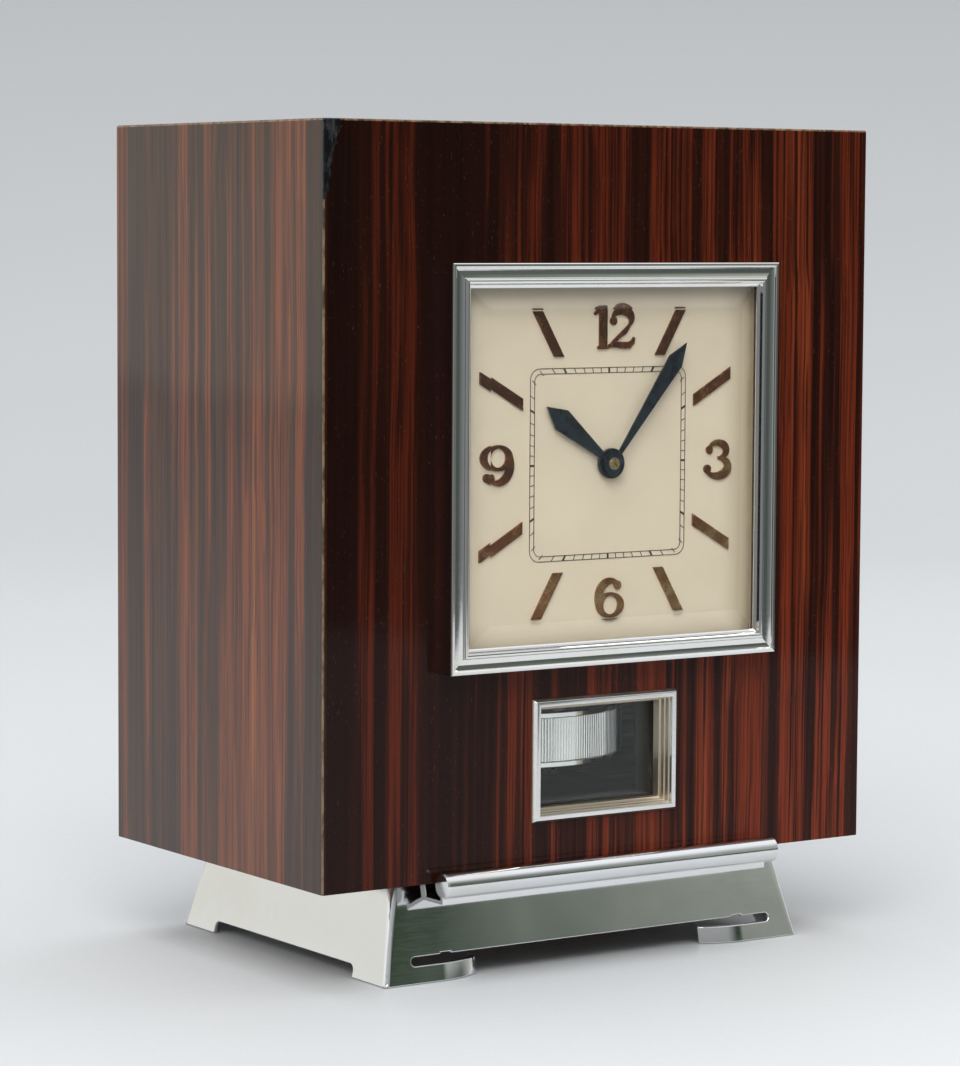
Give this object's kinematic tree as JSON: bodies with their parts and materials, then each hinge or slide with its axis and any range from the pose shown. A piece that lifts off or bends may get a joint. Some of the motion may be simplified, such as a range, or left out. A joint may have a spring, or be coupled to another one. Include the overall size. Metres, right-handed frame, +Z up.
{
  "type": "mantel clock",
  "caption": "Square mantel clock in a glossy veneered box on a flared plated base, with a torsion balance behind a small window below the dial.",
  "frame": {"origin": "centre of the clock's footprint on the surface it stands on", "axes": "+Z up, -Y the dial side (front), +X to the right seen from the front"},
  "size_m": [0.206, 0.1442, 0.261],
  "materials": {
    "veneer": "high-gloss lacquered Macassar ebony veneer with near-black stripes",
    "carcass_wood": "plain unfinished hardwood",
    "chrome": "polished chromium plate",
    "silvered": "silvered, fine vertical flutes",
    "brass": "lacquered brass",
    "steel": "fine brushed steel",
    "black_metal": "matt black paint",
    "clear_glass": "clear polished plate glass with a wide bevel",
    "dial_cream": "satin cream enamel paint, lightly aged",
    "dial_ink": "black printing ink",
    "dial_relief": "copper-brown lustre relief",
    "hand_black": "blue-black satin steel"
  },
  "bodies": {
    "case": {"case_front_panel": "veneer", "case_left_side": "veneer", "case_right_side": "veneer", "case_top_panel": "veneer", "case_bottom_board": "carcass_wood", "corner_blocks": "carcass_wood", "back_frame": "carcass_wood", "hinge_case_leaves": "brass", "hinge_pins": "steel", "base_shell": "chrome", "base_screws": "steel", "bar_rail": "chrome", "front_bar": "chrome", "rail_rivets": "steel", "bezel_frame": "chrome", "bezel_glass": "clear_glass", "glass_retainer": "black_metal", "dial_plate": "dial_cream", "minute_track": "dial_ink", "dial_batons": "dial_relief", "dial_numerals": "dial_relief", "dial_feet": "brass", "window_frame": "chrome", "window_glass": "clear_glass", "window_retainer": "black_metal", "chassis_plate": "black_metal", "movement_columns": "steel", "movement_seat": "black_metal", "front_plate": "brass", "back_plate": "brass", "plate_pillars": "brass", "suspension_bracket": "steel", "rear_post": "steel"},
    "door": {"back_door": "veneer", "hinge_door_leaves": "brass"},
    "latch": {"door_latch": "chrome"},
    "minute_train": {"centre_arbor": "brass", "centre_wheel": "brass", "cannon_pinion": "steel", "minute_hand": "hand_black"},
    "hour_train": {"hour_wheel": "brass", "hour_hand": "hand_black"},
    "motion_pair": {"motion_wheel": "brass"},
    "setting_shaft": {"setting_arbor": "steel", "setting_knob": "brass"},
    "escape_train": {"escape_pinion": "steel", "escape_wheel": "brass"},
    "pallet": {"pallet_fork": "steel"},
    "barrel": {"mainspring_barrel": "brass", "mainspring": "steel"},
    "winding_unit": {"barrel_arbor": "steel", "ratchet_wheel": "steel", "expansion_drum": "brass"},
    "click": {"click_pawl": "steel"},
    "balance": {"balance_ring": "silvered", "balance_arms": "brass", "balance_staff": "steel", "suspension_wire": "steel"},
    "lever": {"lock_lever": "steel"},
    "lift_plate": {"lock_plate": "black_metal"}
  },
  "joints": [
    {"name": "minute_turn", "type": "hinge", "parent": "case", "child": "minute_train", "pos_m": [0, -0.03, 0.1567], "axis": [0, 1, 0], "continuous": true},
    {"name": "hour_turn", "type": "hinge", "parent": "case", "child": "hour_train", "pos_m": [0, -0.055, 0.1567], "axis": [0, 1, 0], "continuous": true},
    {"name": "motion_wheel_turn", "type": "hinge", "parent": "case", "child": "motion_pair", "pos_m": [0.00848, -0.05, 0.14822], "axis": [0, 1, 0], "continuous": true},
    {"name": "setting_turn", "type": "hinge", "parent": "case", "child": "setting_shaft", "pos_m": [0.01697, 0, 0.13973], "axis": [0, 1, 0], "continuous": true},
    {"name": "escape_turn", "type": "hinge", "parent": "case", "child": "escape_train", "pos_m": [0, -0.03, 0.1367], "axis": [0, 1, 0], "continuous": true},
    {"name": "barrel_turn", "type": "hinge", "parent": "case", "child": "barrel", "pos_m": [0, -0.03, 0.1864], "axis": [0, 1, 0], "continuous": true},
    {"name": "pallet_swing", "type": "hinge", "parent": "case", "child": "pallet", "pos_m": [0, -0.02, 0.1242], "axis": [0, 1, 0], "range_deg": [-4, 4]},
    {"name": "winding_turn", "type": "hinge", "parent": "case", "child": "winding_unit", "pos_m": [0, 0, 0.1864], "axis": [0, 1, 0], "range_deg": [-60, 60]},
    {"name": "click_lift", "type": "hinge", "parent": "case", "child": "click", "pos_m": [0.0156, -0.005, 0.1774], "axis": [0, -1, 0], "range_deg": [0, 8], "stiffness_Nm_per_rad": 0.001, "springref_deg": -5.73},
    {"name": "balance_swing", "type": "hinge", "parent": "case", "child": "balance", "pos_m": [0, 0, 0.065], "axis": [0, 0, 1], "range_deg": [-270, 270]},
    {"name": "back_door_open", "type": "hinge", "parent": "case", "child": "door", "pos_m": [-0.09265, 0.0655, 0.146], "axis": [0, 0, 1], "range_deg": [0, 110]},
    {"name": "door_latch_turn", "type": "hinge", "parent": "door", "child": "latch", "pos_m": [0.078, 0.06, 0.146], "axis": [0, -1, 0], "range_deg": [0, 90]},
    {"name": "lock_lever_swing", "type": "hinge", "parent": "case", "child": "lever", "pos_m": [0, 0, 0.044], "axis": [0, 0, 1], "range_deg": [0, 35]},
    {"name": "balance_lock_lift", "type": "slide", "parent": "case", "child": "lift_plate", "axis": [0, 0, 1], "range_m": [0, 0.0018]}
  ],
  "couplings": [
    {"joint": "hour_turn", "follows": "minute_turn", "ratio": 0.083333},
    {"joint": "motion_wheel_turn", "follows": "minute_turn", "ratio": -0.33333},
    {"joint": "setting_turn", "follows": "minute_turn", "ratio": 1},
    {"joint": "escape_turn", "follows": "minute_turn", "ratio": -4},
    {"joint": "barrel_turn", "follows": "minute_turn", "ratio": -0.125},
    {"joint": "balance_lock_lift", "follows": "lock_lever_swing", "m_per_rad": 0.002865}
  ]
}
